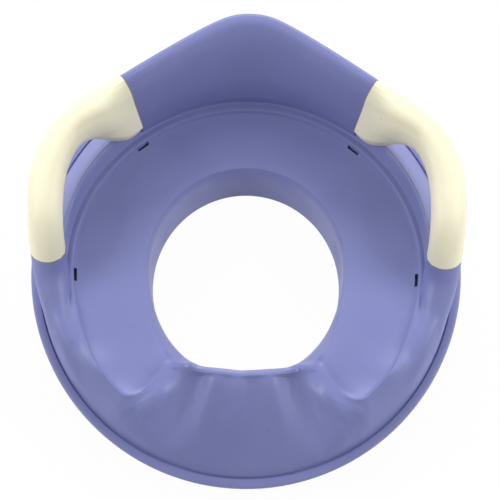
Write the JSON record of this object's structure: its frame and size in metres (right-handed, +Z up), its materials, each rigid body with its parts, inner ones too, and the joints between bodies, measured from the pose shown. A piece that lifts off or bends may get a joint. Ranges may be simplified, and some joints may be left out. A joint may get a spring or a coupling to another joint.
{
  "type": "potty training seat",
  "caption": "Toddler toilet seat reducer: oval seat ring with hollow backrest, splash guard, cushion recess and two armrests that bend forward from the backrest.",
  "frame": {"origin": "middle of the seat's outline, level with the lower end of the collar that stands on the floor", "axes": "+X to the right seen from the front, +Y to the backrest, +Z up"},
  "size_m": [0.372, 0.39, 0.1511],
  "materials": {
    "blue_plastic": "satin",
    "cream_plastic": "satin",
    "grip_rubber": "matte",
    "screw_steel": "plated"
  },
  "bodies": {
    "root": {"seat_shell": "blue_plastic", "base_ring": "blue_plastic", "left_armrest": "cream_plastic", "right_armrest": "cream_plastic", "grip_pad_front_left": "grip_rubber", "grip_pad_front_right": "grip_rubber", "grip_pad_rear_left": "grip_rubber", "grip_pad_rear_right": "grip_rubber", "base_screws": "screw_steel"}
  },
  "joints": []
}
